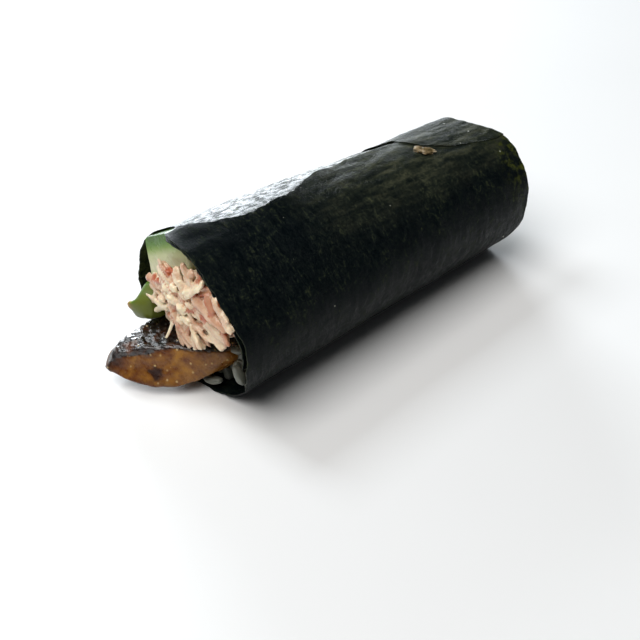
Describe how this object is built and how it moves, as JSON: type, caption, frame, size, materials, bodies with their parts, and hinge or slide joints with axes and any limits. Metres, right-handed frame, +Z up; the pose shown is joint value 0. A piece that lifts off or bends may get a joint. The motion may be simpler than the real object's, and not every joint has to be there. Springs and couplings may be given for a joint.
{
  "type": "temaki hand roll",
  "caption": "Hand roll of toasted nori lying on its side, filled with crab salad, cucumber, avocado, rice and a slab of grilled eel that sticks out of the open mouth.",
  "frame": {"origin": "middle of the outline, on the surface that the roll lies on", "axes": "+Y along the roll from the open mouth to the far end, +Z up, +X to the side that the free edge of the sheet wraps over"},
  "size_m": [0.0486, 0.124, 0.0444],
  "materials": {
    "nori": "dark green toasted seaweed with a slight sheen, mottled and finely streaked",
    "rice": "moist cooked rice",
    "crab_salad": "cream and pink shreds wet with mayonnaise",
    "cucumber": "moist pale green flesh with a green skin",
    "avocado": "smooth ripe flesh, greener at its rim",
    "eel": "glazed and charred on top, amber at the sides"
  },
  "bodies": {
    "root": {"nori": "nori", "rice": "rice", "crab_salad": "crab_salad", "cucumber": "cucumber", "avocado": "avocado", "eel": "eel"}
  },
  "joints": []
}
